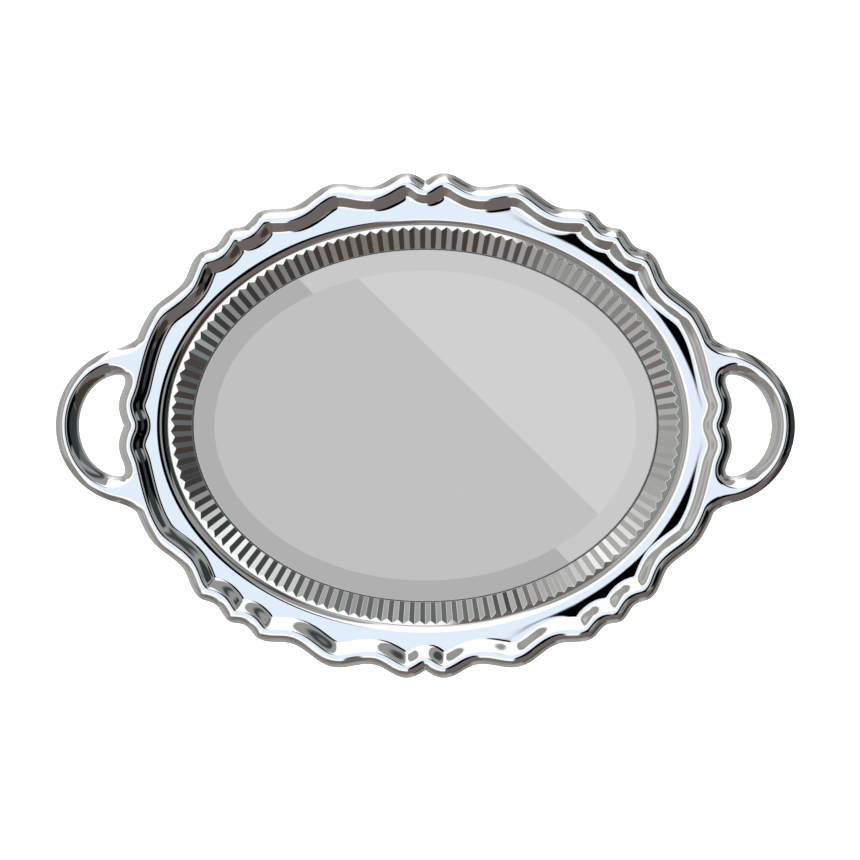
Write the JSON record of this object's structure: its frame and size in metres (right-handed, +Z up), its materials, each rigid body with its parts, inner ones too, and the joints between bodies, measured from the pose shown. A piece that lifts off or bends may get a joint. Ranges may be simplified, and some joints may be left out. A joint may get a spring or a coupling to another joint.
{
  "type": "serving tray",
  "caption": "Oval serving tray with a scalloped chrome border, two loop handles, a fluted inner ring and a bevelled mirror floor.",
  "frame": {"origin": "centre of the footprint, on the plane that the feet stand on", "axes": "+X along the tray towards one handle, +Y across it, +Z up out of the serving surface"},
  "size_m": [0.46, 0.3142, 0.025],
  "materials": {
    "polished_chrome": "bright polished plating",
    "fluted_chrome": "bright polished plating on flat flutes",
    "silvered_glass": "silvered glass with a ground and polished bevel",
    "zinc_steel": "zinc-plated screw steel",
    "black_foam": "closed-cell foam tape",
    "grey_card": "plain grey board",
    "black_board": "black lacquered fibreboard",
    "black_felt": "pressed wool felt",
    "black_rubber": "moulded matt rubber"
  },
  "bodies": {
    "root": {"rim_frame": "polished_chrome", "handle_left": "polished_chrome", "handle_right": "polished_chrome", "fluted_ring": "fluted_chrome", "mirror_plate": "silvered_glass", "mirror_foam_tape": "black_foam", "backing_pad": "grey_card", "base_board": "black_board", "base_felt": "black_felt", "foot_1": "black_rubber", "foot_2": "black_rubber", "foot_3": "black_rubber", "foot_4": "black_rubber", "foot_screw_1": "zinc_steel", "foot_screw_2": "zinc_steel", "foot_screw_3": "zinc_steel", "foot_screw_4": "zinc_steel", "base_screw_1": "zinc_steel", "base_screw_2": "zinc_steel", "base_screw_3": "zinc_steel", "base_screw_4": "zinc_steel", "base_screw_5": "zinc_steel", "base_screw_6": "zinc_steel", "base_screw_7": "zinc_steel", "base_screw_8": "zinc_steel", "handle_screw_1": "zinc_steel", "handle_screw_2": "zinc_steel", "handle_screw_3": "zinc_steel", "handle_screw_4": "zinc_steel"}
  },
  "joints": []
}
